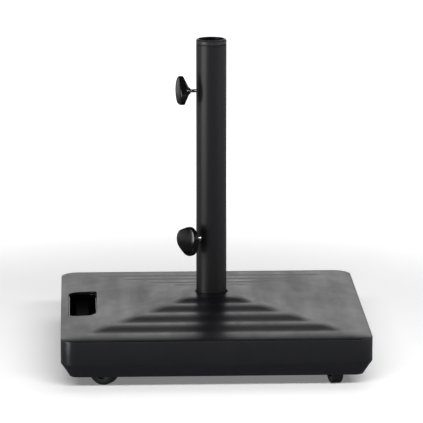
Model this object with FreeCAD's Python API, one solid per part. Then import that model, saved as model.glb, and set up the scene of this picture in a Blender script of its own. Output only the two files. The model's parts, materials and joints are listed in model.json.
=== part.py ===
import FreeCAD, Part
import math
import os
from FreeCAD import Placement, Rotation, Vector

# A wheeled parasol base. A black moulded slab with a stepped top holds a concrete core
# and stands on four swivel castors. A steel tube rises from its middle and takes the
# parasol's pole, which two hand screws clamp.
#
# Millimetres. The origin is on the floor under the middle of the slab, +Z is up, the
# front is -Y and the hand opening is at -X.

UP = Vector(0, 0, 1)

# --- Slab -------------------------------------------------------------------------
HALF = 250.0             # half of the slab's side
PLAN_RADIUS = 28.0       # its corners, seen from above
UNDERSIDE = 22.0         # ground clearance
CHAMFER_IN = 14.5        # the bottom chamfer, across
CHAMFER_UP = 21.5        # and up
BORDER_TOP = 87.0        # flat of the lowest, outermost level
BORDER_DROP = 4.4        # how far the border falls away to the wall
BORDER_REACH = 46.0      # and over what width
BORDER_TRIM = 1.0        # the wall cuts the quarter ellipse this far before it is upright
SHELL_WALL = 3.0
CAST_GAP = 0.3           # between the core and what it is cast around

# --- Terraces: half-width and reach of the falling edge, from the lowest to the crown --
STEP_UP = 5.0
TERRACES = ((197.0, 44.0), (150.0, 44.0), (101.5, 40.0), (59.5, 30.0))
TERRACE_TRIM = 0.4
CROWN = BORDER_TOP + STEP_UP * len(TERRACES)

# --- Underside cover ----------------------------------------------------------------
COVER_THICK = 3.5
COVER_GAP = 0.35         # between the cover's edge and the shell
COVER_PLAN_RADIUS = 9.5
FLANGE_LOW = 25.8        # the ledge inside the shell that the cover is screwed to
FLANGE_HIGH = 28.8
FLANGE_WIDTH = 13.5
CORE_LOW = 29.1
COVER_SCREW_ALONG = 115.0
COVER_SCREW_OUT = 225.0
FILL_PLUG_Y = 120.0
FILL_PLUG_RADIUS = 19.0
CENTRE_HOLE = 24.0       # radius of the cover's hole under the tie bolt

# --- Hand opening -------------------------------------------------------------------
GRIP_X = -214.0
GRIP_WIDE = 47.0
GRIP_LONG = 170.0
GRIP_RADIUS = 15.0
LINER_WALL = 2.0
LINER_GAP = 0.15
LINER_TOP = BORDER_TOP - 3.5
LINER_LOW = UNDERSIDE + 0.5

# --- Stand tube ---------------------------------------------------------------------
TUBE_RADIUS = 25.0
TUBE_WALL = 1.5
TUBE_BORE = TUBE_RADIUS - TUBE_WALL
TUBE_LOW = 36.0
TOP = 531.0              # the collar's rim, the highest point
COLLAR_FLANGE = 8.5
TUBE_HIGH = TOP - COLLAR_FLANGE
COLLAR_BORE = 20.75
COLLAR_SPIGOT = 30.5
SLEEVE_BORE = 25.2
SLEEVE_RADIUS = 27.7
SLEEVE_HIGH = CROWN - 6.0
FOOT_PLATE_HALF = 45.0
FOOT_PLATE_THICK = 4.0
RING_OUTER = 27.5
TIE_RADIUS = 5.0
END_PLATE_THICK = 8.0
REST_HIGH = 60.0

# --- Clamp screws: height, and the heading of the outward axis ------------------------
CLAMPS = {"upper": (445.5, 190.0, 90.0), "lower": (199.5, 219.0, 53.0)}  # last: lobe phase
SCREW_RADIUS = 3.0
THREAD_PLAY = 0.05
NUT_INNER_END = 20.9     # distances from the tube's axis, along the screw
PAD_INNER_END = 20.9
SCREW_INNER_END = 22.3
COLLAR_END = 35.5
KNOB_INNER_END = 37.5
KNOB_BACK = 49.0         # where the cone behind the knob would reach its rim
KNOB_FRONT = 58.5
SCREW_OUTER_END = 52.0
LOBE_OUT = 8.0
LOBE_RADIUS = 17.6
DOME_RADIUS = 90.0

# --- Castors ------------------------------------------------------------------------
PIVOT = 189.5            # each pivot's distance from both middle planes
TRAIL = 10.0
WHEEL_RADIUS = 25.0
HEADINGS = {             # which way each wheel trails, in degrees from +X
    "front_left": -32.0,
    "front_right": -79.0,
    "rear_left": 148.0,
    "rear_right": 24.0,
}
CORNERS = {"front_left": (-1, -1), "front_right": (1, -1), "rear_left": (-1, 1), "rear_right": (1, 1)}
WELL_RADIUS = 37.2
WELL_WALL = 2.2
WELL_TOP = 65.0
PLATE_HALF = 25.0
PLATE_THICK = 2.5
PLATE_HOLE_OUT = 19.0
TREAD_WIDE = 18.0
TREAD_INNER = 18.5
AXLE_RADIUS = 3.0
SLEEVE_OUTER = 4.5
FORK_GAP = 10.3          # half of the room between the fork's legs
FORK_WALL = 2.5
FORK_CROWN_LOW = 54.5
FORK_CROWN_HIGH = 57.0
KINGPIN_RADIUS = 4.0
RUNNING_PLAY = 0.05
BALL_RADIUS = 1.9
BALL_CIRCLE = 12.0
BALL_HEIGHT = 60.0
BALLS = 12
RACE_WIDE = 2.5


def cylinder(radius, low, high, x=0.0, y=0.0):
    """An upright cylinder."""
    return Part.makeCylinder(radius, high - low, Vector(x, y, low), UP)


def ring(outer, inner, low, high, x=0.0, y=0.0):
    """An upright tube."""
    return cylinder(outer, low, high, x, y).cut(cylinder(inner, low - 1, high + 1, x, y))


def block(x_low, x_high, y_low, y_high, z_low, z_high):
    """A box between two corners."""
    return Part.makeBox(x_high - x_low, y_high - y_low, z_high - z_low, Vector(x_low, y_low, z_low))


def fused(shapes):
    """All the shapes as one clean solid."""
    return shapes[0].multiFuse(shapes[1:]).removeSplitter()


def placed(shape, placement):
    """A copy of the shape, moved."""
    moved = shape.copy()
    moved.Placement = placement.multiply(moved.Placement)
    return moved


def hull_plate(circles, low, high):
    """An upright plate whose outline wraps circles (x, y, radius), given anticlockwise."""
    touches = []
    for index, (x, y, radius) in enumerate(circles):
        next_x, next_y, next_radius = circles[(index + 1) % len(circles)]
        gap = math.hypot(next_x - x, next_y - y)
        along = Vector((next_x - x) / gap, (next_y - y) / gap, 0)
        across = Vector(along.y, -along.x, 0)
        lean = (radius - next_radius) / gap
        normal = along * lean + across * math.sqrt(1 - lean * lean)
        leaving = Vector(x, y, low) + normal * radius
        arriving = Vector(next_x, next_y, low) + normal * next_radius
        touches.append((leaving, arriving))
    edges = []
    for index, (x, y, radius) in enumerate(circles):
        start = touches[index - 1][1]
        end = touches[index][0]
        centre = Vector(x, y, low)
        middle = start + end - centre * 2
        middle.normalize()
        edges.append(Part.Arc(start, centre + middle * radius, end).toShape())
        edges.append(Part.LineSegment(end, touches[index][1]).toShape())
    return Part.Face(Part.Wire(edges)).extrude(Vector(0, 0, high - low))


def rounded_square(half, radius, low, high):
    """An upright prism with a rounded-square plan, about the Z axis."""
    side = half - radius
    corners = ((side, side, radius), (-side, side, radius), (-side, -side, radius), (side, -side, radius))
    return hull_plate(corners, low, high)


def rounded_block(half, radius, low, high, chamfer_in, chamfer_up):
    """An upright block with a rounded-square plan and a chamfered bottom edge.

    The wall's profile is extruded along each side and turned about each corner's centre.
    """
    side = half - radius
    outline = [
        Vector(0, 0, low), Vector(radius - chamfer_in, 0, low), Vector(radius, 0, low + chamfer_up),
        Vector(radius, 0, high), Vector(0, 0, high), Vector(0, 0, low),
    ]
    profile = Part.Face(Part.makePolygon(outline))
    pieces = [block(-side, side, -side, side, low, high)]
    for quarter in range(4):
        turn = Placement(Vector(), Rotation(UP, 90 * quarter))
        wall = placed(profile, Placement(Vector(side, -side, 0), Rotation()))
        corner = placed(profile, Placement(Vector(side, side, 0), Rotation()))
        pieces.append(placed(wall.extrude(Vector(0, 2 * side, 0)), turn))
        pieces.append(placed(corner.revolve(Vector(side, side, 0), UP, 90), turn))
    return fused(pieces)


def pillow(half, low, top, drop, reach, trim):
    """A square block whose top falls away to each side in part of a quarter ellipse.

    The fall starts `reach` inside the half-width and is `drop` deep there. The ellipse
    goes on for another `trim` before it is upright. The four falls meet in mitres.
    """
    full_reach = reach + trim
    full_drop = drop / (1 - math.sqrt(1 - (reach / full_reach) ** 2))
    edge = half + trim
    centre = Vector(half - reach, 0, top - full_drop)
    wall_top = Vector(edge, 0, top - full_drop)
    flat_end = Vector(half - reach, 0, top)
    fall = Part.Ellipse(wall_top, flat_end, centre).toShape(0, math.pi / 2)
    points = [flat_end, Vector(0, 0, top), Vector(0, 0, low), Vector(edge, 0, low), wall_top]
    edges = [Part.LineSegment(a, b).toShape() for a, b in zip(points, points[1:])]
    profile = Part.Face(Part.Wire(Part.__sortEdges__(edges + [fall])))
    side = placed(profile, Placement(Vector(0, -2 * edge, 0), Rotation())).extrude(Vector(0, 4 * edge, 0))
    far = 2 * edge
    corners = [Vector(0, 0, low - 1), Vector(far, -far, low - 1), Vector(far, far, low - 1)]
    quarter = Part.Face(Part.makePolygon(corners + corners[:1])).extrude(Vector(0, 0, top - low + 2))
    side = side.common(quarter)
    return fused([placed(side, Placement(Vector(), Rotation(UP, 90 * turn))) for turn in range(4)])


def slab_block(inset):
    """The slab's whole form, set in from its outer surface by a wall's thickness."""
    slant = inset * math.hypot(CHAMFER_IN, CHAMFER_UP) / CHAMFER_UP
    chamfer_in = CHAMFER_IN + slant - inset
    chamfer_up = chamfer_in * CHAMFER_UP / CHAMFER_IN
    half = HALF - inset
    top = BORDER_TOP - inset
    slab = rounded_block(half, PLAN_RADIUS - inset, UNDERSIDE, top + 1, chamfer_in, chamfer_up)
    roof = pillow(half, UNDERSIDE - 1, top, BORDER_DROP, BORDER_REACH - inset, BORDER_TRIM)
    pieces = [slab.common(roof)]
    for level, (half, reach) in enumerate(TERRACES, 1):
        top = BORDER_TOP + STEP_UP * level - inset
        low = UNDERSIDE + CHAMFER_UP
        pieces.append(pillow(half - inset, low, top, STEP_UP, reach - inset, TERRACE_TRIM))
    return fused(pieces)


def chamfer_cutter(inset):
    """What lies outside the left wall's chamfer, set in from it by a thickness."""
    slant = inset * math.hypot(CHAMFER_IN, CHAMFER_UP) / CHAMFER_UP
    low = Vector(-HALF + CHAMFER_IN + slant, -HALF, UNDERSIDE)
    rise = Vector(-CHAMFER_IN, 0, CHAMFER_UP)
    below = low - rise
    above = low + rise * 2
    outline = [below, above, Vector(-2 * HALF, -HALF, above.z), Vector(-2 * HALF, -HALF, below.z), below]
    return Part.Face(Part.makePolygon(outline)).extrude(Vector(0, 2 * HALF, 0))


def grip_prism(trim, low, high, inset):
    """The hand opening's form: upright, its outer wall sloping in with the chamfer."""
    half_wide = GRIP_WIDE / 2 - trim
    half_long = GRIP_LONG / 2 - trim
    radius = GRIP_RADIUS - trim
    x = half_wide - radius
    y = half_long - radius
    corners = [(GRIP_X + sx * x, sy * y, radius) for sx, sy in ((1, 1), (-1, 1), (-1, -1), (1, -1))]
    return hull_plate(corners, low, high).cut(chamfer_cutter(inset))


def hexagon(across_flats, low, high):
    """An upright hexagonal prism about the Z axis."""
    corner = across_flats / math.sqrt(3)
    points = [Vector(corner * math.cos(a), corner * math.sin(a), low) for a in
              [math.radians(60 * k) for k in range(6)]]
    return Part.Face(Part.makePolygon(points + points[:1])).extrude(Vector(0, 0, high - low))


def spun(points):
    """A solid turned about the Z axis from an outline of (radius, height) points."""
    outline = [Vector(radius, 0, height) for radius, height in points]
    return Part.Face(Part.makePolygon(outline + outline[:1])).revolve(Vector(), UP, 360)


def edges_at_height(shape, height):
    """The horizontal edges that lie at a height."""
    level = [e for e in shape.Edges if abs(e.BoundBox.ZMin - height) < 0.01 and e.BoundBox.ZLength < 0.01]
    return level


# --- Slab pieces ----------------------------------------------------------------------

def castor_spots():
    """The pivots of the four castors, by name."""
    return {name: (PIVOT * sx, PIVOT * sy) for name, (sx, sy) in CORNERS.items()}


def cover_screw_spots():
    """Two screws along each side of the cover."""
    along, out = COVER_SCREW_ALONG, COVER_SCREW_OUT
    return [(a, b) for a in (-along, along) for b in (-out, out)] + [
        (b, a) for a in (-along, along) for b in (-out, out)]


def insert_spots():
    """The sixteen castor screws."""
    out = PLATE_HOLE_OUT
    return [(x + dx, y + dy) for x, y in castor_spots().values() for dx in (-out, out) for dy in (-out, out)]


def outer_shell():
    cavity = slab_block(SHELL_WALL)
    ledge = cavity.common(block(-HALF, HALF, -HALF, HALF, FLANGE_LOW, FLANGE_HIGH))
    inner = HALF - CHAMFER_IN - FLANGE_WIDTH - SHELL_WALL
    ledge = ledge.cut(rounded_square(inner, COVER_PLAN_RADIUS, UNDERSIDE, BORDER_TOP))
    for x, y in castor_spots().values():
        ledge = ledge.cut(cylinder(WELL_RADIUS + WELL_WALL + CAST_GAP, UNDERSIDE, BORDER_TOP, x, y))
    for x, y in cover_screw_spots():
        ledge = ledge.cut(cylinder(1.8, UNDERSIDE, BORDER_TOP, x, y))
    ledge = ledge.cut(grip_prism(-LINER_GAP, UNDERSIDE, BORDER_TOP, SHELL_WALL))
    shell = slab_block(0).cut(cavity).fuse(ledge)
    shell = shell.cut(cylinder(RING_OUTER, UNDERSIDE, TOP))
    opening = grip_prism(-LINER_GAP, UNDERSIDE + CHAMFER_UP, TOP, SHELL_WALL)
    return shell.cut(opening).removeSplitter()


def concrete_core():
    core = slab_block(SHELL_WALL + CAST_GAP)
    core = core.cut(block(-HALF, HALF, -HALF, HALF, 0, CORE_LOW))
    room = WELL_WALL + CAST_GAP
    for x, y in castor_spots().values():
        core = core.cut(cylinder(WELL_RADIUS + room, 0, WELL_TOP + room, x, y))
    for x, y in insert_spots():
        core = core.cut(cylinder(4.0, WELL_TOP, 79.3, x, y))
    core = core.cut(grip_prism(-CAST_GAP, 0, TOP, SHELL_WALL))
    core = core.cut(cylinder(SLEEVE_RADIUS, 0, TOP))
    half = FOOT_PLATE_HALF
    return core.cut(block(-half, half, -half, half, 0, TUBE_LOW))


def base_cover():
    edge = HALF - CHAMFER_IN - SHELL_WALL * math.hypot(CHAMFER_IN, CHAMFER_UP) / CHAMFER_UP - COVER_GAP
    high = UNDERSIDE + COVER_THICK
    pieces = [rounded_square(edge, COVER_PLAN_RADIUS, UNDERSIDE, high)]
    for x, y in castor_spots().values():
        pieces.append(cylinder(WELL_RADIUS + WELL_WALL, UNDERSIDE, WELL_TOP + WELL_WALL, x, y))
    cover = fused(pieces)
    for x, y in castor_spots().values():
        cover = cover.cut(cylinder(WELL_RADIUS, 0, WELL_TOP, x, y))
    for x, y in insert_spots():
        cover = cover.cut(cylinder(2.75, UNDERSIDE, TOP, x, y))
    for x, y in cover_screw_spots():
        cover = cover.cut(cylinder(2.1, 0, TOP, x, y))
        cover = cover.cut(cylinder(4.0, 0, UNDERSIDE + 2.3, x, y))
    cover = cover.cut(cylinder(CENTRE_HOLE, 0, TOP))
    cover = cover.cut(cylinder(FILL_PLUG_RADIUS, 0, TOP, 0, FILL_PLUG_Y))
    return cover.cut(grip_prism(-LINER_GAP, 0, TOP, SHELL_WALL))


def cover_screws():
    screws = []
    for x, y in cover_screw_spots():
        shank = cylinder(1.75, UNDERSIDE + 2, FLANGE_HIGH + 0.1, x, y)
        head = cylinder(3.6, UNDERSIDE + 0.4, UNDERSIDE + 2.3, x, y)
        slot = block(x - 2.5, x + 2.5, y - 0.5, y + 0.5, UNDERSIDE, UNDERSIDE + 1.2)
        screws.append(shank.fuse(head).cut(slot).removeSplitter())
    return screws


def press_cap(hole_radius, x, y):
    """A moulded cap that snaps into a hole in the cover, hollow from above."""
    high = UNDERSIDE + COVER_THICK
    cap = fused([
        cylinder(hole_radius, UNDERSIDE + 0.2, high + 2.5, x, y),
        cylinder(hole_radius + 1.2, high + 0.1, high + 1.4, x, y),
    ])
    return cap.cut(cylinder(hole_radius - 2, UNDERSIDE + 2.2, high + 3, x, y))


def grip_liner():
    outside = grip_prism(LINER_GAP, LINER_LOW, LINER_TOP, SHELL_WALL + CAST_GAP)
    inside = grip_prism(LINER_WALL, LINER_LOW - 1, LINER_TOP + 1, SHELL_WALL + LINER_WALL)
    liner = outside.cut(inside)
    lip = [e for e in edges_at_height(liner, LINER_TOP)]
    return liner.makeFillet(0.7, lip)


# --- Tube pieces ------------------------------------------------------------------------

def clamp_frame(name):
    """Where a clamp screw lies: local Z is its outward axis, local Y is up."""
    height, heading, _ = CLAMPS[name]
    outward = Vector(math.cos(math.radians(heading)), math.sin(math.radians(heading)), 0)
    return Placement(Vector(0, 0, height), Rotation(UP.cross(outward), UP, outward, "ZYX"))


def stand_tube():
    tube = cylinder(TUBE_RADIUS, TUBE_LOW, TUBE_HIGH)
    tube = tube.makeFillet(0.6, edges_at_height(tube, TUBE_HIGH)).cut(cylinder(TUBE_BORE, 0, TOP))
    for name in CLAMPS:
        tube = tube.cut(placed(cylinder(4.0, 0, 2 * TUBE_RADIUS), clamp_frame(name)))
    return tube


def clinch_nut(name):
    """A nut pressed into the tube's wall from inside, flush outside."""
    frame = clamp_frame(name)
    head = placed(cylinder(5.5, NUT_INNER_END, TUBE_RADIUS), frame).common(cylinder(TUBE_BORE, 0, TOP))
    pilot = placed(cylinder(4.0, NUT_INNER_END, TUBE_RADIUS + 2), frame)
    pilot = pilot.common(cylinder(TUBE_RADIUS, 0, TOP))
    bore = placed(cylinder(SCREW_RADIUS + THREAD_PLAY, 0, 2 * TUBE_RADIUS), frame)
    return head.fuse(pilot).cut(bore).removeSplitter()


def top_collar():
    collar = fused([
        cylinder(TUBE_RADIUS, TUBE_HIGH, TOP),
        cylinder(TUBE_BORE - 0.05, TUBE_HIGH - COLLAR_SPIGOT, TUBE_HIGH),
    ])
    collar = collar.makeFillet(2.8, edges_at_height(collar, TOP))
    under_flange = [e for e in edges_at_height(collar, TUBE_HIGH) if e.BoundBox.XMax > TUBE_BORE]
    collar = collar.makeFillet(1.2, under_flange)
    collar = collar.cut(cylinder(COLLAR_BORE, 0, TOP + 1))
    mouth = [e for e in edges_at_height(collar, TOP) if e.BoundBox.XMax < COLLAR_BORE + 0.1]
    return collar.makeFillet(1.2, mouth)


def socket_sleeve():
    half = FOOT_PLATE_HALF
    low = TUBE_LOW - FOOT_PLATE_THICK
    plate = block(-half, half, -half, half, low, TUBE_LOW)
    sleeve = plate.fuse(cylinder(SLEEVE_RADIUS, low, SLEEVE_HIGH)).cut(cylinder(SLEEVE_BORE, TUBE_LOW, TOP))
    return sleeve.cut(cylinder(TIE_RADIUS + 0.5, 0, TOP)).removeSplitter()


def end_plate():
    return ring(TUBE_BORE, TIE_RADIUS, TUBE_LOW, TUBE_LOW + END_PLATE_THICK)


def tie_washer():
    high = TUBE_LOW - FOOT_PLATE_THICK
    return ring(15.0, TIE_RADIUS + 0.3, high - 2.0, high)


def tie_bolt():
    under_washer = TUBE_LOW - FOOT_PLATE_THICK - 2.0
    head = hexagon(16.0, under_washer - 3.5, under_washer)
    return head.fuse(cylinder(TIE_RADIUS, under_washer - 1, TUBE_LOW + END_PLATE_THICK + 3))


def pole_rest():
    low = TUBE_LOW + END_PLATE_THICK + 3.5
    cup = cylinder(TUBE_BORE - 0.05, low, REST_HIGH)
    seat = Part.makeCone(3.0, 21.0, REST_HIGH + 0.1 - low - 4, Vector(0, 0, low + 4), UP)
    return cup.cut(seat).cut(cylinder(3.0, 0, TOP))


def foot_ring():
    seal = ring(RING_OUTER - 0.05, TUBE_RADIUS + 0.05, SLEEVE_HIGH + 0.2, CROWN + 0.8)
    return seal.makeFillet(0.6, edges_at_height(seal, CROWN + 0.8))


# --- Hand screws --------------------------------------------------------------------------

def knob(phase):
    """A rounded triangle with a domed face, coned towards the hub."""
    lobes = [math.radians(phase + 120 * k) for k in range(3)]
    circles = [(LOBE_OUT * math.cos(a), LOBE_OUT * math.sin(a), LOBE_RADIUS) for a in lobes]
    outline = hull_plate(circles, KNOB_INNER_END, KNOB_FRONT)
    rim = LOBE_OUT + LOBE_RADIUS + 2
    back = spun([
        (0, KNOB_INNER_END), (6.5, KNOB_INNER_END), (7.5, KNOB_INNER_END + 1), (rim, KNOB_BACK),
        (rim, KNOB_FRONT + 1), (0, KNOB_FRONT + 1),
    ])
    dome = Part.makeSphere(DOME_RADIUS, Vector(0, 0, KNOB_FRONT - DOME_RADIUS))
    body = outline.common(back).common(dome)
    rounded = [e for e in body.Edges if e.BoundBox.ZMin > KNOB_BACK + 3]
    body = body.makeFillet(3.0, rounded)
    rounded = [e for e in body.Edges if KNOB_BACK - 4 < e.BoundBox.ZMin and e.BoundBox.ZMax < KNOB_BACK + 1]
    body = body.makeFillet(2.0, rounded)
    return body.cut(cylinder(4.5, 0, SCREW_OUTER_END + 1))


def knob_insert():
    """The threaded metal bush in the knob, whose collar shows at the hub's end."""
    collar = cylinder(5.6, COLLAR_END, KNOB_INNER_END)
    collar = collar.makeChamfer(0.5, edges_at_height(collar, COLLAR_END))
    return collar.fuse(cylinder(4.5, COLLAR_END + 0.6, SCREW_OUTER_END + 1)).cut(
        cylinder(SCREW_RADIUS, 0, SCREW_OUTER_END)).removeSplitter()


def clamp_screw():
    rod = cylinder(SCREW_RADIUS, SCREW_INNER_END, SCREW_OUTER_END)
    return rod.cut(cylinder(1.25, 0, SCREW_INNER_END + 3.1))


def pressure_pad():
    face = cylinder(2.45, PAD_INNER_END, SCREW_INNER_END - 0.1)
    return face.fuse(cylinder(1.2, SCREW_INNER_END - 0.5, SCREW_INNER_END + 3)).removeSplitter()


# --- Castors, about their own pivot, trailing along +X ---------------------------------------

AXLE_FRAME = Placement(Vector(TRAIL, 0, WHEEL_RADIUS), Rotation(Vector(1, 0, 0), -90))


def castor_plate():
    low = WELL_TOP - PLATE_THICK
    plate = rounded_square(PLATE_HALF, 5.0, low, WELL_TOP)
    race = ring(BALL_CIRCLE + RACE_WIDE, BALL_CIRCLE - RACE_WIDE, BALL_HEIGHT + 2, low + 0.5)
    plate = plate.fuse(race).cut(cylinder(KINGPIN_RADIUS, 0, TOP))
    for x in (-PLATE_HOLE_OUT, PLATE_HOLE_OUT):
        for y in (-PLATE_HOLE_OUT, PLATE_HOLE_OUT):
            plate = plate.cut(cylinder(2.75, 0, TOP, x, y))
    return plate.removeSplitter()


def kingpin():
    head = cylinder(7.0, FORK_CROWN_LOW - 2.4, FORK_CROWN_LOW - 0.2)
    head = head.makeFillet(1.0, edges_at_height(head, FORK_CROWN_LOW - 2.4))
    return head.fuse(cylinder(KINGPIN_RADIUS, FORK_CROWN_LOW - 1, WELL_TOP)).removeSplitter()


def castor_screw():
    under_plate = WELL_TOP - PLATE_THICK
    head = cylinder(4.4, under_plate - 2.8, under_plate)
    head = head.makeFillet(1.2, edges_at_height(head, under_plate - 2.8))
    recess = hexagon(3.0, under_plate - 3, under_plate - 1.2)
    return head.fuse(cylinder(2.5, under_plate - 1, WELL_TOP + 13)).cut(recess).removeSplitter()


def bearing_balls():
    balls = []
    for count in range(BALLS):
        angle = 2 * math.pi * count / BALLS
        spot = Vector(BALL_CIRCLE * math.cos(angle), BALL_CIRCLE * math.sin(angle), BALL_HEIGHT)
        balls.append(Part.makeSphere(BALL_RADIUS, spot))
    return balls


def castor_fork():
    outside = FORK_GAP + FORK_WALL
    crown = fused([
        cylinder(18.0, FORK_CROWN_LOW, FORK_CROWN_HIGH),
        block(-14, 18, -outside, outside, FORK_CROWN_LOW, FORK_CROWN_HIGH),
        ring(BALL_CIRCLE + RACE_WIDE, BALL_CIRCLE - RACE_WIDE, FORK_CROWN_HIGH, BALL_HEIGHT - 2),
    ])
    leg = hull_plate([(TRAIL, -WHEEL_RADIUS, 8.5), (16, -55, 2), (-12, -55, 2)][::-1], FORK_GAP, outside)
    stand = Placement(Vector(), Rotation(Vector(1, 0, 0), -90))
    legs = [placed(leg, stand), placed(leg, stand).mirror(Vector(), Vector(0, 1, 0))]
    fork = fused([crown] + legs)
    fork = fork.cut(cylinder(KINGPIN_RADIUS + RUNNING_PLAY, 0, TOP))
    return fork.cut(placed(cylinder(AXLE_RADIUS, -2 * outside, 2 * outside), AXLE_FRAME))


def axle_parts():
    """The axle's bolt and, apart from it, its nut."""
    outside = FORK_GAP + FORK_WALL
    bolt = hexagon(9.0, -outside - 3.2, -outside).fuse(cylinder(AXLE_RADIUS, -outside - 1, outside + 5))
    nut = hexagon(9.0, outside, outside + 3.8).cut(cylinder(AXLE_RADIUS, 0, outside + 6))
    return [placed(bolt.removeSplitter(), AXLE_FRAME), placed(nut, AXLE_FRAME)]


def axle_sleeve():
    half = FORK_GAP - 0.1
    return placed(ring(SLEEVE_OUTER, AXLE_RADIUS, -half, half), AXLE_FRAME)


def wheel_hub():
    half = (TREAD_WIDE - 2) / 2
    bore = SLEEVE_OUTER + RUNNING_PLAY
    side = [(bore, 9.9), (7.6, 9.9), (8.2, 2.6), (14.4, 2.6), (15.2, half), (TREAD_INNER, half)]
    hub = spun(side + [(radius, -height) for radius, height in side[::-1]])
    for count in range(6):
        angle = 2 * math.pi * count / 6
        hub = hub.cut(cylinder(2.2, -5, 5, 11.3 * math.cos(angle), 11.3 * math.sin(angle)))
    return placed(hub, AXLE_FRAME)


def wheel_tread():
    half = TREAD_WIDE / 2
    tread = ring(WHEEL_RADIUS, TREAD_INNER, -half, half)
    shoulders = [e for e in edges_at_height(tread, half) + edges_at_height(tread, -half)
                 if e.BoundBox.XMax > WHEEL_RADIUS - 0.1]
    return placed(tread.makeFillet(2.6, shoulders), AXLE_FRAME)


# --- All the parts -----------------------------------------------------------------------------

def save(name, *shapes):
    """Writes one node: a solid, or a group of separate solids."""
    shape = shapes[0] if len(shapes) == 1 else Part.makeCompound(list(shapes))
    if not shape.isValid():
        print("not valid:", name)
    shape.exportStep(os.path.join("parts", name + ".step"))


def main():
    os.makedirs("parts", exist_ok=True)
    save("outer_shell", outer_shell())
    save("concrete_core", concrete_core())
    save("base_cover", base_cover())
    save("cover_screws", *cover_screws())
    save("fill_plug", press_cap(FILL_PLUG_RADIUS, 0, FILL_PLUG_Y))
    save("tie_bolt_cap", press_cap(CENTRE_HOLE, 0, 0))
    save("grip_liner", grip_liner())

    save("stand_tube", stand_tube())
    save("top_collar", top_collar())
    save("foot_ring", foot_ring())
    save("socket_sleeve", socket_sleeve())
    save("tube_end_plate", end_plate())
    save("tie_washer", tie_washer())
    save("tie_bolt", tie_bolt())
    save("pole_rest", pole_rest())

    for name, (_, _, phase) in CLAMPS.items():
        frame = clamp_frame(name)
        save(name + "_clinch_nut", clinch_nut(name))
        save(name + "_knob", placed(knob(phase), frame))
        save(name + "_knob_insert", placed(knob_insert(), frame))
        save(name + "_clamp_screw", placed(clamp_screw(), frame))
        save(name + "_pressure_pad", placed(pressure_pad(), frame))

    spots = [Placement(Vector(x, y, 0), Rotation()) for x, y in castor_spots().values()]
    screws = [Placement(Vector(x, y, 0), Rotation()) for x, y in insert_spots()]
    insert = ring(4.0, 2.5, WELL_TOP + WELL_WALL + 0.1, 79.2)
    save("castor_plates", *[placed(castor_plate(), spot) for spot in spots])
    save("castor_kingpins", *[placed(kingpin(), spot) for spot in spots])
    save("castor_balls", *[placed(ball, spot) for spot in spots for ball in bearing_balls()])
    save("castor_screws", *[placed(castor_screw(), spot) for spot in screws])
    save("castor_inserts", *[placed(insert, spot) for spot in screws])
    for name, (x, y) in castor_spots().items():
        frame = Placement(Vector(x, y, 0), Rotation(UP, HEADINGS[name]))
        save("fork_" + name, placed(castor_fork(), frame))
        save("axle_" + name, *[placed(piece, frame) for piece in axle_parts()])
        save("axle_sleeve_" + name, placed(axle_sleeve(), frame))
        save("hub_" + name, placed(wheel_hub(), frame))
        save("tread_" + name, placed(wheel_tread(), frame))


main()
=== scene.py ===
import json
import math

import bpy
from mathutils import Matrix, Vector


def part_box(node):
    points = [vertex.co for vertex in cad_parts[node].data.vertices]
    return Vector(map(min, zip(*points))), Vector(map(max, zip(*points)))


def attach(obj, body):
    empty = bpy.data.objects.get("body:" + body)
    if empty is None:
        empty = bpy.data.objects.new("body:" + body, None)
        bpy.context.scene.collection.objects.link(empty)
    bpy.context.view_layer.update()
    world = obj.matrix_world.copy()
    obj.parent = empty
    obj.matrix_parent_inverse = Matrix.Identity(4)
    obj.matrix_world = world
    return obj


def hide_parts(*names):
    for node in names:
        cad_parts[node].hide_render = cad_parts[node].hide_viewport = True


# A black, square parasol base on a pale studio floor. A tall strip light stands at its
# left, a white backdrop shines low behind it, and the side that the camera sees stays dark.
# Softboxes above its left, front and right show the top to viewers at its sides and behind it.
# Metres, in the CAD's own frame: the origin is on the floor under the slab, +Z is up and
# the front is -Y.

MM = 0.001

# --- Camera and light ---------------------------------------------------------------------
CAMERA_AZIMUTH = -2.30
CAMERA_ELEVATION = 11.88
CAMERA_DISTANCE = 5.557
CAMERA_LENS = 285.6
CAMERA_SENSOR = 36.0
CAMERA_SIGHT = 60.0
CAMERA_TARGET = Vector((0.0003, 0.0, 0.2417))

FLOOR_SIZE = 40.0
FLOOR_COLOUR = (0.86, 0.86, 0.87)
FLOOR_GLOW = 0.19            # near the object, so that it still has a shadow
FLOOR_FAR_GLOW = 1.0
FLOOR_FADE = (0.50, 1.60)    # where the one turns into the other
BACKDROP = (                 # what shines behind the object: height of the direction, glow
    (-0.10, 0.0), (0.06, 0.12), (0.14, 1.10), (0.20, 1.46), (0.30, 1.20),
    (0.39, 0.60), (0.48, 0.16), (0.58, 0.06), (0.87, 0.02),
)
BACKDROP_EDGE = (0.24, 0.42)  # how far to each side it fades
BACKDROP_AHEAD = (0.0, 0.4)   # how far round to the back it starts
CAMERA_SIDE_GLOW = 0.52      # what the tube reflects from the camera's side, about the horizon
CAMERA_SIDE_UPPER = 0.10     # how much of that is left above it
BELOW_GLOW = 0.11            # the same, from well below the horizon
UPPER_FADE = (-0.08, 0.20)   # heights of the direction between which the glow weakens upward
BELOW_FADE = (-0.27, -0.12)  # and downward
LIGHT_AIM = (0.0, 0.0, 0.5)  # near the tube's top
SOFTBOX_AZIMUTHS = (-90.0, 0.0, 90.0)  # none behind, where the camera would see it mirrored

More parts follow.
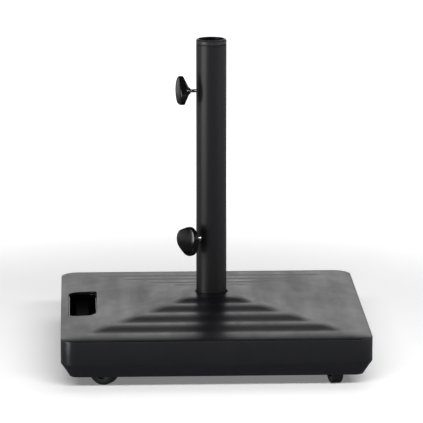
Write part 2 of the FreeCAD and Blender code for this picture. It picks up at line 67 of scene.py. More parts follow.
# --- Slab, in millimetres -----------------------------------------------------------------
# The CAD's sizes, but with softer steps, and a border that falls over 42 mm and not 46.
HALF = 250.0
PLAN_RADIUS = 28.0
UNDERSIDE = 22.0
CHAMFER_IN = 14.5
CHAMFER_UP = 21.5
BORDER_TOP = 87.0
BORDER_FALL = (4.4, 42.0, 1.0)                 # drop, reach and trim
STEP_UP = 5.0
TERRACES = ((197.0, 33.0), (150.0, 33.0), (101.5, 30.0), (59.5, 23.0))  # foot, and reach in from it
FOOT_REACH = 13.0            # how far each foot runs out past that
FALL_SKEW = 1.2              # above 1, the fall is steepest in its lower half
RIDGE_RADIUS = 13.0          # in plan, where two falls meet
SHELL_WALL = 3.0
HOLE_RADIUS = 27.5
LEDGE = (219.0, 235.0, 25.8, 28.8)             # inner and outer edge, low and high
LEDGE_END = 149.0
OPENING_CENTRE = -214.0
OPENING_HALF = (23.65, 85.15)
OPENING_RADIUS = 15.15
CUTTER_SPAN = (60.0, 130.0)  # low and high end of the form that cuts the opening
TOP_ROWS = 150               # rows of points from the tube's hole to the outer edge
CORNER_OFFSETS = (           # degrees from the diagonal at which the slab's outline has points
    0, 0.1, 0.2, 0.3, 0.42, 0.55, 0.7, 0.9, 1.15, 1.45, 1.85, 2.3, 2.85, 3.4, 4.1, 5.0, 6.5, 9, 13, 18,
    25, 34,
)

# --- Tube's collar and foot ring, in millimetres ------------------------------------------
TUBE_RADIUS = 25.0
COLLAR_BORE = 20.75
COLLAR_SPIGOT = 23.45        # just inside the tube's wall
COLLAR_FILLETS = (1.2, 2.8, 1.2)               # mouth, outer rim, and over the tube's end
RING_INNER = 25.05
RING_OUTER = 27.45

# --- Hand screws, in millimetres along the screw from the tube's axis ---------------------
LOBE_OUT = 8.0
LOBE_RADIUS = 17.6
LOBE_PHASES = {"upper": 90.0, "lower": 53.0}
HUB_END = 37.5
HUB_RADIUS = 7.5
HUB_BEVEL = 1.0
KNOB_CONE = (20.1, 49.0)     # the cone's run behind the knob, and where it would end
KNOB_FRONT = 58.5
KNOB_BORE = (4.5, 53.0)
DOME_RADIUS = 90.0
SCREW_SPAN = (22.3, 52.0)
SCREW_RADIUS = 3.0
SCREW_SOCKET = (1.25, 25.4)
THREAD_PITCH = 1.0
THREAD_DEPTH = 0.35
THREAD_FLANK = 2.6           # how steep the thread's flanks are, in depths for each pitch
THREAD_CREST = 0.2           # how much of that is left flat at the crest
SCREW_CHAMFER = 0.4
SCREW_ROWS_PER_MM = 10

# --- Castor wheels, in millimetres --------------------------------------------------------
WHEEL_RADIUS = 25.0
TREAD_WIDE = 18.0
TREAD_INNER = 18.5
TREAD_RIM = (20.5, 21.0)     # where the flat side ends and the shoulder starts
MOULDING_LINE = 0.15         # how far the line round the middle stands up


# --- Materials ----------------------------------------------------------------------------

def colour_with_alpha(colour):
    return (*colour, 1.0)


class Surface:
    """A procedural material. Each method adds one kind of detail to a Principled shader."""

    def __init__(self, name, colour, roughness, metallic=0.0):
        self.material = bpy.data.materials.new(name)
        self.material.use_nodes = True
        self.nodes = self.material.node_tree.nodes
        self.links = self.material.node_tree.links
        self.shader = self.nodes["Principled BSDF"]
        self.shader.inputs["Base Color"].default_value = colour_with_alpha(colour)
        self.shader.inputs["Roughness"].default_value = roughness
        self.shader.inputs["Metallic"].default_value = metallic
        self.colour = self.constant_colour(colour)
        self.roughness = self.constant(roughness)
        self.normal = None
        self.position = self.add("ShaderNodeTexCoord").outputs["Object"]

    def add(self, kind, **settings):
        node = self.nodes.new(kind)
        for name, value in settings.items():
            setattr(node, name, value)
        return node

    def constant(self, value):
        node = self.add("ShaderNodeValue")
        node.outputs[0].default_value = value
        return node.outputs[0]

    def constant_colour(self, colour):
        node = self.add("ShaderNodeRGB")
        node.outputs[0].default_value = colour_with_alpha(colour)
        return node.outputs[0]

    def feed(self, node, **values):
        """Sets a node's inputs, from a number or from another node's output."""
        for name, value in values.items():
            socket = node.inputs[name.replace("_", " ")]
            if isinstance(value, bpy.types.NodeSocket):
                self.links.new(value, socket)
            else:
                socket.default_value = value
        return node

    def maths(self, operation, first, second=0.0, clamp=False):
        node = self.add("ShaderNodeMath", operation=operation, use_clamp=clamp)
        for socket, value in zip(node.inputs, (first, second)):
            if isinstance(value, bpy.types.NodeSocket):
                self.links.new(value, socket)
            else:
                socket.default_value = value
        return node.outputs[0]

    def noise(self, scale, detail=3.0, stretch=(1, 1, 1)):
        """Noise from 0 to 1, in features of about 1 / scale metres."""
        mapping = self.add("ShaderNodeMapping")
        self.links.new(self.position, mapping.inputs["Vector"])
        mapping.inputs["Scale"].default_value = stretch
        texture = self.add("ShaderNodeTexNoise")
        self.links.new(mapping.outputs[0], texture.inputs["Vector"])
        self.feed(texture, Scale=scale, Detail=detail, Roughness=0.55)
        return texture.outputs["Fac"]

    def spread(self, value, low, high, new_low, new_high):
        """A value's range stretched onto another, and held inside it."""
        node = self.add("ShaderNodeMapRange")
        self.links.new(value, node.inputs["Value"])
        self.feed(node, From_Min=low, From_Max=high, To_Min=new_low, To_Max=new_high)
        return node.outputs[0]

    def tint(self, mask, colour):
        """Lays a colour over the surface where the mask says."""
        node = self.add("ShaderNodeMix", data_type="RGBA")
        self.links.new(mask, node.inputs[0])
        self.links.new(self.colour, node.inputs[6])
        node.inputs[7].default_value = colour_with_alpha(colour)
        self.colour = node.outputs[2]

    def roughen(self, mask, amount):
        """Adds to the roughness where the mask says."""
        self.roughness = self.maths("ADD", self.roughness, self.maths("MULTIPLY", mask, amount), True)

    def soften_edges(self, radius):
        """Shades sharp edges as if they were rounded."""
        bevel = self.add("ShaderNodeBevel", samples=6)
        bevel.inputs["Radius"].default_value = radius
        self.normal = bevel.outputs[0]

    def bump(self, height, distance):
        node = self.add("ShaderNodeBump")
        self.links.new(height, node.inputs["Height"])
        self.feed(node, Distance=distance, Strength=1.0)
        if self.normal is not None:
            self.links.new(self.normal, node.inputs["Normal"])
        self.normal = node.outputs[0]

    def edges(self, radius):
        """1 on sharp edges, falling to 0 within the radius."""
        bevel = self.add("ShaderNodeBevel", samples=4)
        bevel.inputs["Radius"].default_value = radius
        geometry = self.add("ShaderNodeNewGeometry")
        product = self.add("ShaderNodeVectorMath", operation="DOT_PRODUCT")
        self.links.new(bevel.outputs[0], product.inputs[0])
        self.links.new(geometry.outputs["Normal"], product.inputs[1])
        return self.spread(product.outputs["Value"], 0.995, 0.85, 0.0, 1.0)

    def finish(self):
        self.links.new(self.colour, self.shader.inputs["Base Color"])
        self.links.new(self.roughness, self.shader.inputs["Roughness"])
        if self.normal is not None:
            self.links.new(self.normal, self.shader.inputs["Normal"])
        return self.material


def shell_plastic():
    """Black moulded polyethylene: satin, a little uneven, finely grained."""
    surface = Surface("shell_plastic", (0.0085, 0.0092, 0.0140), 0.27)
    clouds = surface.noise(9.0, 4.0, (2.6, 0.55, 1.0))
    blotches = surface.noise(38.0, 5.0)
    surface.roughen(surface.spread(clouds, 0.32, 0.68, 0.0, 1.0), 0.10)
    surface.roughen(surface.spread(blotches, 0.35, 0.7, 0.0, 1.0), 0.04)
    dust = surface.maths("MULTIPLY", surface.spread(blotches, 0.45, 0.8, 0.0, 1.0), 0.22)
    surface.tint(dust, (0.022, 0.021, 0.019))
    patches = surface.spread(surface.noise(160.0), 0.45, 0.7, 0.0, 0.15)
    surface.tint(surface.maths("MULTIPLY", surface.edges(0.0020), patches), (0.045, 0.045, 0.047))
    surface.soften_edges(0.0008)
    surface.bump(surface.noise(14.0, 1.0), 0.0006)
    surface.bump(surface.noise(1500.0, 2.0), 0.00004)
    return surface.finish()


def moulded(name, colour, roughness, grain=1200.0, grain_depth=0.00003, clouds=0.1):
    """Plain moulded plastic or rubber."""
    surface = Surface(name, colour, roughness)
    surface.roughen(surface.spread(surface.noise(45.0, 4.0), 0.35, 0.7, 0.0, 1.0), clouds)
    lighter = tuple(2.5 * channel + 0.006 for channel in colour)
    patches = surface.spread(surface.noise(260.0), 0.42, 0.7, 0.0, 0.4)
    surface.tint(surface.maths("MULTIPLY", surface.edges(0.0010), patches), lighter)
    surface.bump(surface.noise(grain, 2.0), grain_depth)
    return surface.finish()


def coated_steel(name, colour, roughness):
    """Powder coat: a fine orange peel, with the odd speck."""
    surface = Surface(name, colour, roughness)
    surface.roughen(surface.spread(surface.noise(30.0, 4.0), 0.35, 0.7, 0.0, 1.0), 0.05)
    surface.tint(surface.spread(surface.noise(900.0, 1.0), 0.70, 0.78, 0.0, 0.3), (0.05, 0.05, 0.05))
    surface.bump(surface.noise(420.0, 2.0), 0.00005)
    surface.bump(surface.noise(1900.0, 1.0), 0.00002)
    return surface.finish()


def bare_metal(name, colour, roughness):
    """Machined or plated metal with faint streaks and duller patches."""
    surface = Surface(name, colour, roughness, 1.0)
    patches = surface.spread(surface.noise(90.0, 4.0), 0.4, 0.72, 0.0, 1.0)
    surface.roughen(patches, 0.16)
    surface.tint(surface.maths("MULTIPLY", patches, 0.35), tuple(0.6 * channel for channel in colour))
    surface.bump(surface.noise(600.0, 2.0, (1, 1, 6)), 0.00002)
    return surface.finish()


def concrete():
    surface = Surface("concrete", (0.36, 0.35, 0.33), 0.85)
    surface.tint(surface.spread(surface.noise(60.0, 6.0), 0.4, 0.7, 0.0, 0.6), (0.24, 0.235, 0.22))
    surface.bump(surface.noise(180.0, 6.0), 0.0008)
    return surface.finish()


def make_materials():
    return {
        "shell_plastic": shell_plastic(),
        # liner_plastic: black plastic, darkened further with painted shade for the deep hand opening
        "liner_plastic": moulded("liner_plastic", (0.003, 0.003, 0.004), 0.16, clouds=0.06),
        "cover_plastic": moulded("cover_plastic", (0.016, 0.016, 0.017), 0.5),
        "concrete": concrete(),
        "tube_coating": coated_steel("tube_coating", (0.0120, 0.0120, 0.0155), 0.34),
        # collar_plastic: dark grey plastic, lightened with painted light for the lit inner wall of the tube's
        # mouth
        "collar_plastic": moulded("collar_plastic", (0.028, 0.028, 0.031), 0.28),
        "seal_rubber": moulded("seal_rubber", (0.006, 0.006, 0.006), 0.6),
        "knob_plastic": moulded("knob_plastic", (0.004, 0.004, 0.004), 0.13, grain=700.0, clouds=0.06),
        "bright_plating": bare_metal("bright_plating", (0.60, 0.60, 0.59), 0.10),
        "pad_plastic": moulded("pad_plastic", (0.62, 0.60, 0.54), 0.45),
        "zinc_steel": bare_metal("zinc_steel", (0.58, 0.59, 0.60), 0.30),
        "bare_steel": bare_metal("bare_steel", (0.36, 0.36, 0.37), 0.38),
        "bearing_steel": bare_metal("bearing_steel", (0.62, 0.62, 0.63), 0.10),
        "insert_brass": bare_metal("insert_brass", (0.70, 0.52, 0.24), 0.28),
        "hub_plastic": moulded("hub_plastic", (0.006, 0.006, 0.007), 0.30),
        "tread_rubber": moulded(
            "tread_rubber", (0.007, 0.007, 0.007), 0.5, grain=500.0, grain_depth=0.00008),
    }


def dress_nodes(frame, materials):
    """Gives every CAD node the finish of its slot in the record."""
    for entry in frame["record"]["subparts"]:
        mesh = frame["nodes"][entry["node"]].data
        mesh.materials.clear()
        mesh.materials.append(materials[entry["material_slot"]])


# --- Shapes -------------------------------------------------------------------------------

def rounded_profile(corners, steps=5):
    """A closed outline of (across, up, fillet radius), with its corners rounded."""
    points = []
    for index, (across, up, radius) in enumerate(corners):
        corner = Vector((across, up))
        if radius == 0:
            points.append(corner)
            continue
        before = Vector(corners[index - 1][:2]) - corner
        after = Vector(corners[(index + 1) % len(corners)][:2]) - corner
        before.normalize()
        after.normalize()
        half_angle = before.angle(after) / 2
        centre = corner + (before + after).normalized() * (radius / math.sin(half_angle))
        start = corner + before * (radius / math.tan(half_angle)) - centre
        end = corner + after * (radius / math.tan(half_angle)) - centre
        turn = math.pi - 2 * half_angle
        for step in range(steps + 1):
            part = step / steps
            arm = start * math.sin((1 - part) * turn) + end * math.sin(part * turn)
            points.append(centre + arm / math.sin(turn))
    return points


def grid_mesh(name, rings, closed):
    """A mesh through rings of the same number of points; closed joins the last to the first."""
    count = len(rings[0])
    faces = []
    for ring in range(len(rings) if closed else len(rings) - 1):
        upper = ring * count
        lower = (ring + 1) % len(rings) * count
        for spot in range(count):
            after = (spot + 1) % count
            faces.append((upper + spot, upper + after, lower + after, lower + spot))
    if not closed:
        faces.append(tuple(range(count))[::-1])
        faces.append(tuple(range((len(rings) - 1) * count, len(rings) * count)))
    mesh = bpy.data.meshes.new(name)
    mesh.from_pydata([point for ring in rings for point in ring], [], faces)
    mesh.validate()
    return mesh


def add_object(name, mesh):
    thing = bpy.data.objects.new(name, mesh)
    bpy.context.scene.collection.objects.link(thing)
    return thing


def face_outward(mesh):
    """Turns a closed mesh's faces to look outward."""
    volume = 0.0
    for face in mesh.polygons:
        corners = [mesh.vertices[index].co for index in face.vertices]
        for second, third in zip(corners[1:], corners[2:]):
            volume += corners[0].dot(second.cross(third))
    if volume < 0:
        mesh.flip_normals()


def settle(piece, body, node, slot, materials, sharp=35.0):
    """Smooths a piece, gives it its finish, and lets it stand for its CAD node."""
    mesh = piece.data
    mesh.shade_smooth()
    mesh.set_sharp_from_angle(angle=math.radians(sharp))
    mesh.materials.clear()
    mesh.materials.append(materials[slot])
    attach(piece, body)
    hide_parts(node)


def around(place, radius, angle, height):
    """A point at a radius and an angle about a place's own Z, from sizes in millimetres."""
    return place @ (Vector((radius * math.cos(angle), radius * math.sin(angle), height)) * MM)


def lathe(name, outline, place, segments):
    """A solid turned about local Z from a closed outline in millimetres."""
    rings = []
    for radius, height in outline:
        ring = []
        for spot in range(segments):
            angle = 2 * math.pi * spot / segments
            ring.append(around(place, radius, angle, height))
        rings.append(ring)
    mesh = grid_mesh(name, rings, True)
    face_outward(mesh)
    return add_object(name, mesh)


# --- Slab ---------------------------------------------------------------------------------

def ring_angles():
    """Angles of one quarter, close together about the corner."""
    quarter = sorted({45 + sign * offset for offset in CORNER_OFFSETS for sign in (-1, 1)} | {0})
    return [math.radians(angle + 90 * turn) for turn in range(4) for angle in quarter]


def square_ring(half, radius, height, angles):
    """Points of a rounded square where rays from its middle cross it."""
    side = half - radius
    ring = []
    for angle in angles:
        across = abs(math.cos(angle))
        along = abs(math.sin(angle))
        far = half / max(across, along)
        if min(across, along) * far > side:
            lean = side * (across + along)
            far = lean + math.sqrt(max(lean * lean - 2 * side * side + radius * radius, 0.0))
        ring.append(Vector((far * math.cos(angle), far * math.sin(angle), height)) * MM)
    return ring


def border_height(at):
    """The border's height at a half-width: flat, then part of a quarter ellipse down to the wall."""
    drop, reach, trim = BORDER_FALL
    full_reach = reach + trim
    full_drop = drop / (1 - math.sqrt(1 - (reach / full_reach) ** 2))
    part = max(at - (HALF - reach), 0.0) / full_reach
    return BORDER_TOP - full_drop * (1 - math.sqrt(1 - part * part))


def top_height(at):
    """The slab's height at a half-width: the border, and a smooth step for each terrace inside."""
    height = border_height(at)
    for half, reach in TERRACES:
        part = (at - half + reach) / (reach + FOOT_REACH)
        part = min(max(part, 0.0), 1.0) ** FALL_SKEW
        height += STEP_UP * (1 + math.cos(math.pi * part)) / 2
    return height


def top_profile(inset, edge):
    """The slab's top from the tube's hole out, as (half-width, height, fillet radius)."""
    span = HALF - inset - HOLE_RADIUS
    points = []
    for row in range(TOP_ROWS + 1):
        at = HOLE_RADIUS + span * row / TOP_ROWS
        points.append((at, top_height(at) - inset, 0.0))
    points[-1] = (*points[-1][:2], edge)
    return points


def plan_radius(half, height, inset):
    """The corner radius of the slab's outline at one point of its profile."""
    wall_radius = PLAN_RADIUS - inset
    if half <= HOLE_RADIUS + 0.01:
        return half
    if height < BORDER_TOP - BORDER_FALL[0] - inset + 0.01:
        return wall_radius - (HALF - inset - half)
    border = max((half - HALF + BORDER_FALL[1]) / (BORDER_FALL[1] - inset), 0.0)
    return min(RIDGE_RADIUS + (wall_radius - RIDGE_RADIUS) * border ** 2, wall_radius)


def ledge_bar(low_corner, high_corner):
    """The points and faces of a box between two corners in millimetres."""
    xs, ys, zs = zip(low_corner, high_corner)
    points = [Vector((x, y, z)) * MM for x in xs for y in ys for z in zs]
    faces = [(0, 1, 3, 2), (4, 6, 7, 5), (0, 4, 5, 1), (2, 3, 7, 6), (0, 2, 6, 4), (1, 5, 7, 3)]
    return points, faces


def opening_cutter():
    """The hand opening's upright form, through the slab's top."""
    steps = 12
    corners = []
    for x_sign, y_sign, start in ((1, 1, 0), (-1, 1, 90), (-1, -1, 180), (1, -1, 270)):
        centre_x = OPENING_CENTRE + x_sign * (OPENING_HALF[0] - OPENING_RADIUS)
        centre_y = y_sign * (OPENING_HALF[1] - OPENING_RADIUS)
        for step in range(steps + 1):
            angle = math.radians(start + 90 * step / steps)
            x = centre_x + OPENING_RADIUS * math.cos(angle)
            y = centre_y + OPENING_RADIUS * math.sin(angle)
            corners.append((x, y))
    rings = [[Vector((x, y, height)) * MM for x, y in corners] for height in CUTTER_SPAN]
    mesh = grid_mesh("opening_cutter", rings, False)
    face_outward(mesh)
    return add_object("opening_cutter", mesh)


def cut_out(piece, cutter):
    """Takes the cutter's form out of the piece and removes the cutter."""
    modifier = piece.modifiers.new("opening", "BOOLEAN")
    modifier.operation = "DIFFERENCE"
    modifier.solver = "EXACT"
    modifier.object = cutter
    evaluated = piece.evaluated_get(bpy.context.evaluated_depsgraph_get())
    mesh = bpy.data.meshes.new_from_object(evaluated)
    piece.modifiers.clear()
    piece.data = mesh
    bpy.data.objects.remove(cutter)


def make_shell(materials):
    """The moulded shell: a skin with an outer and an inner side, open below."""
    outer = top_profile(0.0, 0.8)
    outer += [(HALF, UNDERSIDE + CHAMFER_UP, 2.0), (HALF - CHAMFER_IN, UNDERSIDE, 0.8)]
    slant = SHELL_WALL * math.hypot(CHAMFER_IN, CHAMFER_UP) / CHAMFER_UP
    chamfer_in = CHAMFER_IN + slant - SHELL_WALL
    inner_wall = (HALF - SHELL_WALL, UNDERSIDE + chamfer_in * CHAMFER_UP / CHAMFER_IN, 0.0)
    inner = [(HALF - SHELL_WALL - chamfer_in, UNDERSIDE, 0.0), inner_wall]
    inner += reversed(top_profile(SHELL_WALL, 0.0))
    angles = ring_angles()
    points = rounded_profile(outer + inner)
    split = len(points) - len(inner)
    rings = []
    for index, (half, height) in enumerate(points):
        inset = 0.0 if index < split else SHELL_WALL
        rings.append(square_ring(half, plan_radius(half, height, inset), height, angles))
    mesh = grid_mesh("shell", rings, True)
    face_outward(mesh)
    shell = add_object("shell", mesh)
    cut_out(shell, opening_cutter())
    add_ledge(shell.data)
    settle(shell, "base", "outer_shell", "shell_plastic", materials, 40.0)


def add_ledge(mesh):
    """Adds the ledge that the cover is screwed to, in bars between the castor wells."""
    near, far, low, high = LEDGE
    gap = OPENING_HALF[1]
    bars = [
        ((-LEDGE_END, near, low), (LEDGE_END, far, high)),
        ((-LEDGE_END, -far, low), (LEDGE_END, -near, high)),
        ((near, -LEDGE_END, low), (far, LEDGE_END, high)),
        ((-far, gap, low), (-near, LEDGE_END, high)),
        ((-far, -LEDGE_END, low), (-near, -gap, high)),
    ]
    points = [vertex.co.copy() for vertex in mesh.vertices]
    faces = [tuple(face.vertices) for face in mesh.polygons]
    for low_corner, high_corner in bars:
        more_points, more_faces = ledge_bar(low_corner, high_corner)
        faces += [tuple(len(points) + index for index in face) for face in more_faces]
        points += more_points
    mesh.clear_geometry()
    mesh.from_pydata(points, [], faces)


# --- Tube's collar and foot ---------------------------------------------------------------

def make_collar(materials):
    """The plastic collar in the tube's mouth."""
    low, high = (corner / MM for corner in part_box("top_collar"))
    tube_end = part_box("stand_tube")[1].z / MM
    mouth, rim, over_end = COLLAR_FILLETS
    outline = rounded_profile([
        (COLLAR_BORE, low.z, 0.0), (COLLAR_BORE, high.z, mouth), (TUBE_RADIUS, high.z, rim),
        (TUBE_RADIUS, tube_end, over_end), (COLLAR_SPIGOT, tube_end, 0.0), (COLLAR_SPIGOT, low.z, 0.5),
    ], 8)
    collar = lathe("collar", outline, Matrix(), 160)
    settle(collar, "base", "top_collar", "collar_plastic", materials)


def make_foot_ring(materials):
    """The rubber ring that seals the tube's foot."""
    low, high = (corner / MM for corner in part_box("foot_ring"))
    outline = rounded_profile([
        (RING_INNER, low.z, 0.0), (RING_INNER, high.z, 0.3), (RING_OUTER, high.z, 0.8),
        (RING_OUTER, low.z, 0.0),
    ], 6)
    seal = lathe("foot_seal", outline, Matrix(), 160)
    settle(seal, "base", "foot_ring", "seal_rubber", materials)


# --- Hand screws --------------------------------------------------------------------------

def clamp_place(joint, height):
    """Local Z is the screw's outward axis, local Y is up, the origin is on the tube's axis."""
    outward = -Vector(joint["axis"])
    sideways = Vector((0, 0, 1)).cross(outward)
    turn = Matrix((sideways, Vector((0, 0, 1)), outward)).transposed().to_4x4()
    return Matrix.Translation((0, 0, height)) @ turn


def lobe_reach(angle, phase):
    """How far the knob's outline is from its axis: three circles wrapped by a band."""
    offset = (angle - phase + math.pi / 3) % (2 * math.pi / 3) - math.pi / 3
    touch = math.atan2(LOBE_RADIUS * math.sin(math.pi / 3), LOBE_OUT + LOBE_RADIUS * math.cos(math.pi / 3))
    if abs(offset) > touch:
        return (LOBE_OUT / 2 + LOBE_RADIUS) / math.cos(math.pi / 3 - abs(offset))
    return LOBE_OUT * math.cos(offset) + math.sqrt(LOBE_RADIUS ** 2 - (LOBE_OUT * math.sin(offset)) ** 2)


def knob_outline(reach):
    """The knob's section out to one side, as (radius, height) points from end to end."""
    run, cone_end = KNOB_CONE
    cone_start = HUB_END + HUB_BEVEL
    back = cone_start + (reach - HUB_RADIUS) / run * (cone_end - cone_start)
    dome_drop = DOME_RADIUS - math.sqrt(DOME_RADIUS ** 2 - reach ** 2)
    bore_radius, bore_end = KNOB_BORE
    corners = [
        (bore_radius, bore_end, 0.0), (bore_radius, HUB_END, 0.3), (HUB_RADIUS - HUB_BEVEL, HUB_END, 0.3),
        (HUB_RADIUS, cone_start, 1.5), (reach, back, 2.0), (reach, KNOB_FRONT - dome_drop, 3.0),
    ]
    dome_steps = 11
    for step in range(dome_steps - 2, 0, -1):
        radius = reach * step / dome_steps
        corners.append((radius, KNOB_FRONT - DOME_RADIUS + math.sqrt(DOME_RADIUS ** 2 - radius ** 2), 0.0))
    return rounded_profile(corners, 6)


def make_knob(name, place, body, materials):
    """A rounded triangle with a cone behind it, and a hollow for the metal insert."""
    phase = math.radians(LOBE_PHASES[name])
    segments = 180
    columns = []
    for spot in range(segments):
        angle = 2 * math.pi * spot / segments
        column = []
        for radius, height in knob_outline(lobe_reach(angle, phase)):
            column.append(around(place, radius, angle, height))
        columns.append(column)
    rings = [list(ring) for ring in zip(*columns)]
    mesh = grid_mesh(name + "_hand_knob", rings, False)
    face_outward(mesh)
    knob = add_object(name + "_hand_knob", mesh)
    settle(knob, body, name + "_knob", "knob_plastic", materials)


def thread_depth(turns):
    """How deep the thread is cut, from 0 at its crest to 1 at its root."""
    part = turns % 1.0
    return min(max(abs(part - 0.5) * THREAD_FLANK - THREAD_CREST, 0.0), 1.0)


def make_screw(name, place, body, materials):
    """The clamp screw, with its thread cut and a socket in its inner end."""
    start, end = SCREW_SPAN
    segments = 36
    socket_radius, socket_end = SCREW_SOCKET
    profile = [(socket_radius, socket_end, False), (socket_radius, start, False)]
    rows = round((end - start) * SCREW_ROWS_PER_MM)
    profile += [(SCREW_RADIUS, start + (end - start) * row / rows, True) for row in range(rows + 1)]
    rings = []
    for radius, height, threaded in profile:
        ring = []
        for spot in range(segments):
            turn = spot / segments
            run_out = min(height - start, end - height, 1.0)
            depth = thread_depth(height / THREAD_PITCH - turn) if threaded else 0.0
            near_end = SCREW_CHAMFER * (1 - run_out) if threaded else 0.0
            across = radius - max(THREAD_DEPTH * depth, near_end)
            angle = 2 * math.pi * turn
            ring.append(around(place, across, angle, height))
        rings.append(ring)
    mesh = grid_mesh(name + "_screw", rings, False)
    face_outward(mesh)
    screw = add_object(name + "_screw", mesh)
    settle(screw, body, name + "_clamp_screw", "bright_plating", materials, 60.0)


def make_hand_screws(joints, materials):
    for name in LOBE_PHASES:
        joint = joints[name + "_knob_turn"]
        place = clamp_place(joint, joint["pos_m"][2])
        make_knob(name, place, joint["child"], materials)
        make_screw(name, place, joint["child"], materials)


# --- Wheels -------------------------------------------------------------------------------

def make_treads(joints, materials):
    """The castors' rubber treads, with rounded shoulders and a fine moulding line."""
    half = TREAD_WIDE / 2
    rim_inner, rim_outer = TREAD_RIM
    face = WHEEL_RADIUS - MOULDING_LINE
    one_side = [
        (TREAD_INNER, half, 0.0), (rim_inner, half, 0.6), (rim_outer, half - 0.4, 0.6),
        (face, half - 0.6, 2.6), (face, 0.35, 0.1), (WHEEL_RADIUS, 0.2, 0.0),
    ]
    other_side = [(radius, -across, fillet) for radius, across, fillet in one_side]
    outline = rounded_profile(other_side + one_side[::-1])
    for name, joint in joints.items():
        if not name.startswith("wheel_spin_"):
            continue
        corner = name.replace("wheel_spin_", "")
        axis = Vector(joint["axis"])
        place = Matrix.Translation(joint["pos_m"]) @ axis.to_track_quat("Z", "Y").to_matrix().to_4x4()
        tread = lathe("tyre_" + corner, outline, place, 144)
        settle(tread, joint["child"], "tread_" + corner, "tread_rubber", materials)


# --- Studio -------------------------------------------------------------------------------

def from_angles(azimuth, elevation):
    """The direction from the object to a viewer. Azimuth 0 is in front."""
    a = math.radians(azimuth)
    e = math.radians(elevation)
    return Vector((math.sin(a) * math.cos(e), -math.cos(a) * math.cos(e), math.sin(e)))


def make_camera():
    data = bpy.data.cameras.new("camera")
    data.sensor_width = CAMERA_SENSOR
    data.lens = CAMERA_LENS
    data.clip_end = CAMERA_SIGHT
    camera = bpy.data.objects.new("camera", data)
    away = from_angles(CAMERA_AZIMUTH, CAMERA_ELEVATION)
    camera.location = CAMERA_TARGET + away * CAMERA_DISTANCE
    camera.rotation_euler = (-away).to_track_quat("-Z", "Y").to_euler()
    bpy.context.scene.collection.objects.link(camera)
    bpy.context.scene.camera = camera


def make_floor():
    """A white floor that the object doesn't mirror."""
    bpy.ops.mesh.primitive_plane_add(size=FLOOR_SIZE)
    floor = bpy.context.object
    floor.name = "floor"
    floor.visible_glossy = False
    material = bpy.data.materials.new("floor")
    material.use_nodes = True
    shader = material.node_tree.nodes["Principled BSDF"]
    shader.inputs["Base Color"].default_value = colour_with_alpha(FLOOR_COLOUR)
    shader.inputs["Roughness"].default_value = 0.9
    shader.inputs["Specular IOR Level"].default_value = 0.1
    shader.inputs["Emission Color"].default_value = (1, 1, 1, 1)
    nodes = material.node_tree.nodes
    links = material.node_tree.links
    distance = nodes.new("ShaderNodeVectorMath")
    distance.operation = "LENGTH"
    links.new(nodes.new("ShaderNodeTexCoord").outputs["Object"], distance.inputs[0])
    glow = nodes.new("ShaderNodeMapRange")
    glow.interpolation_type = "SMOOTHSTEP"
    glow.inputs["From Min"].default_value, glow.inputs["From Max"].default_value = FLOOR_FADE
    glow.inputs["To Min"].default_value = FLOOR_GLOW
    glow.inputs["To Max"].default_value = FLOOR_FAR_GLOW
    links.new(distance.outputs["Value"], glow.inputs["Value"])
    links.new(glow.outputs[0], shader.inputs["Emission Strength"])
    floor.data.materials.append(material)
    return floor


def make_world():
    """A backdrop that is bright low behind the object, and dim above and on the camera's side."""
    world = bpy.data.worlds.new("studio")
    world.use_nodes = True
    nodes = world.node_tree.nodes
    links = world.node_tree.links
    direction = nodes.new("ShaderNodeTexCoord")
    split = nodes.new("ShaderNodeSeparateXYZ")
    links.new(direction.outputs["Generated"], split.inputs[0])

    by_height = nodes.new("ShaderNodeValToRGB")
    shift = nodes.new("ShaderNodeMapRange")
    shift.inputs["From Min"].default_value = -1.0
    links.new(split.outputs["Z"], shift.inputs["Value"])
    links.new(shift.outputs[0], by_height.inputs["Fac"])
    stops = by_height.color_ramp.elements
    while len(stops) < len(BACKDROP):
        stops.new(0.5)
    for stop, (height, glow) in zip(stops, BACKDROP):
        stop.position = (height + 1) / 2
        stop.color = (glow, glow, glow, 1)

    def fade(value, start, end, low, high):
        node = nodes.new("ShaderNodeMapRange")
        node.interpolation_type = "SMOOTHSTEP"
        for name, number in (("From Min", start), ("From Max", end), ("To Min", low), ("To Max", high)):
            node.inputs[name].default_value = number
        links.new(value, node.inputs["Value"])
        return node.outputs[0]

    def maths(operation, *values):
        node = nodes.new("ShaderNodeMath")
        node.operation = operation
        for socket, value in zip(node.inputs, values):
            links.new(value, socket)
        return node.outputs[0]

    low_part = fade(split.outputs["Z"], *BELOW_FADE, BELOW_GLOW, CAMERA_SIDE_GLOW)
    upper_part = fade(split.outputs["Z"], *UPPER_FADE, 1.0, CAMERA_SIDE_UPPER)
    camera_side = maths("MULTIPLY", low_part, upper_part)
    ahead = fade(split.outputs["Y"], *BACKDROP_AHEAD, 0.0, 1.0)
    beside = fade(maths("ABSOLUTE", split.outputs["X"]), *BACKDROP_EDGE, 1.0, 0.0)
    blend = nodes.new("ShaderNodeMix")
    links.new(maths("MULTIPLY", ahead, beside), blend.inputs["Factor"])
    links.new(camera_side, blend.inputs["A"])
    links.new(by_height.outputs["Color"], blend.inputs["B"])
    links.new(blend.outputs["Result"], nodes["Background"].inputs["Strength"])
    nodes["Background"].inputs["Color"].default_value = (1, 1, 1, 1)
    bpy.context.scene.world = world


def make_light(name, position, aim, size, radiance, mirrored=False, diffuse=False, only=None):
    """A soft rectangular light of an even radiance, unseen by the camera."""
    data = bpy.data.lights.new(name, "AREA")
    data.shape = "RECTANGLE"
    data.size, data.size_y = size
    data.energy = radiance * math.pi * size[0] * size[1]
    light = bpy.data.objects.new(name, data)
    light.location = position
    light.rotation_euler = (Vector(aim) - Vector(position)).to_track_quat("-Z", "Y").to_euler()
    light.visible_camera = False
    light.visible_glossy = mirrored
    light.visible_diffuse = diffuse
    bpy.context.scene.collection.objects.link(light)
    if only:
        receivers = bpy.data.collections.new(name + "_receivers")
        for receiver in only:
            receivers.objects.link(receiver)
        light.light_linking.receiver_collection = receivers


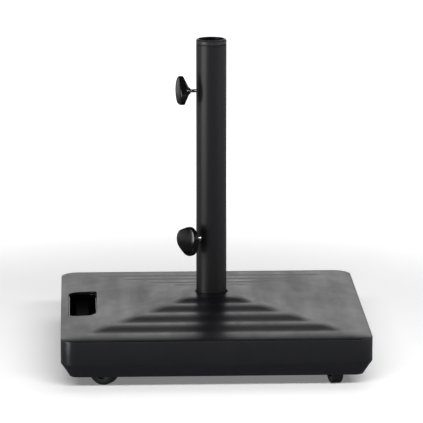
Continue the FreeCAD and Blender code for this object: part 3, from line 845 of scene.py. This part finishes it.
def make_lights(floor):
    """Lights for single finishes. Most are seen only in reflections, and the rest only light."""
    pieces = [piece for piece in bpy.data.objects if piece.type == "MESH" and piece != floor]
    tubes = [piece for piece in pieces if piece.name in ("stand_tube", "collar")]
    others = [piece for piece in pieces if piece not in tubes]
    metal = [piece for piece in pieces if piece.name.endswith(("_screw", "_insert"))]
    slab = [piece for piece in pieces if piece.name == "shell"]
    make_light("strip_left", from_angles(-66.0, 14.0) * 2.4, LIGHT_AIM, (0.75, 1.7), 7.0,
               mirrored=True, only=others)
    make_light("strip_tube", from_angles(-61.0, 17.0) * 2.4, LIGHT_AIM, (1.7, 1.5), 3.0,
               mirrored=True, only=tubes)
    make_light("panel_right", from_angles(70.0, 14.0) * 2.6, LIGHT_AIM, (2.4, 1.5), 0.30,
               mirrored=True)
    make_light("overhead", (0.6, 0.3, 3.0), (0, 0, 0), (3.6, 3.6), 0.95,
               diffuse=True)
    make_light("floor_front", from_angles(4.0, 33.0) * 3.4, (0, 0, 0), (3.4, 0.4), 33.0,
               diffuse=True, only=[floor])
    make_light("glint", (-0.7, -1.3, 1.9), (0, 0, 0.3), (0.9, 0.9), 14.0,
               mirrored=True, only=metal)
    for azimuth in SOFTBOX_AZIMUTHS:
        make_light("softbox", from_angles(azimuth, 42.0) * 3.2, (0, 0, 0.1), (4.6, 1.9), 1.6,
                   mirrored=True, only=slab)


with open("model.json") as file:
    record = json.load(file)
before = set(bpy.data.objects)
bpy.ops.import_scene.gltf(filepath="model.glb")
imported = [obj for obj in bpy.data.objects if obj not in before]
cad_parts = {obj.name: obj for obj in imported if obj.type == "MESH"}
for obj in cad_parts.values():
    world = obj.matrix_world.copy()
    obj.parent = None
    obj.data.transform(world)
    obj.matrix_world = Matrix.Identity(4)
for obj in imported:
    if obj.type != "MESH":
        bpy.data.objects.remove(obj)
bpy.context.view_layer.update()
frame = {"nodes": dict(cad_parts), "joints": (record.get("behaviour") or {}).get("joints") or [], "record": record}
joints = {joint["name"]: joint for joint in frame["joints"]}
materials = make_materials()
dress_nodes(frame, materials)
make_shell(materials)
make_collar(materials)
make_foot_ring(materials)
make_hand_screws(joints, materials)
make_treads(joints, materials)
floor = make_floor()
make_world()
make_lights(floor)
make_camera()
bpy.context.scene.view_settings.view_transform = "Standard"
bpy.context.scene.cycles.use_denoising = True
